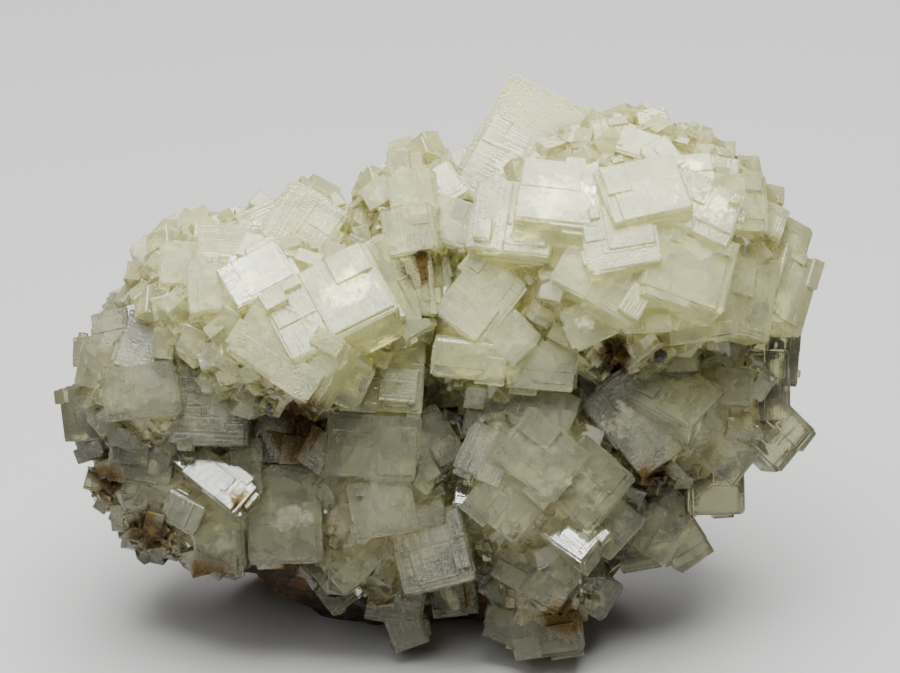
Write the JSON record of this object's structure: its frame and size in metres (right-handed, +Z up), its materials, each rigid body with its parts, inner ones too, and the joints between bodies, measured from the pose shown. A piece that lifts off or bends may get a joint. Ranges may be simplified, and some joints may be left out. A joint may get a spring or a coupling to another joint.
{
  "type": "hydroxyapophyllite specimen",
  "caption": "Hand specimen of intergrown translucent, blocky apophyllite crystals covering a rusty rock matrix, resting on a flat of the matrix.",
  "frame": {"origin": "middle of the flat underneath the matrix, on which the specimen rests", "axes": "+X along the specimen's length, to the right as seen from its show face; +Y through it, away from the show face; +Z up"},
  "size_m": [0.0789, 0.0451, 0.0592],
  "materials": {
    "crystal": "pale yellowish white, translucent, vitreous to pearly faces",
    "matrix": "rough, iron-stained brown with rust and dark patches"
  },
  "bodies": {
    "root": {"matrix": "matrix", "crown_crystals": "crystal", "notch_crystals": "crystal", "left_mound_crystals": "crystal", "far_left_crystals": "crystal", "lower_left_crystals": "crystal", "lower_middle_crystals": "crystal", "lower_front_crystals": "crystal", "right_flank_crystals": "crystal", "low_right_crystals": "crystal", "foot_crystals": "crystal", "back_left_crystals": "crystal", "back_right_crystals": "crystal", "back_low_crystals": "crystal"}
  },
  "joints": []
}
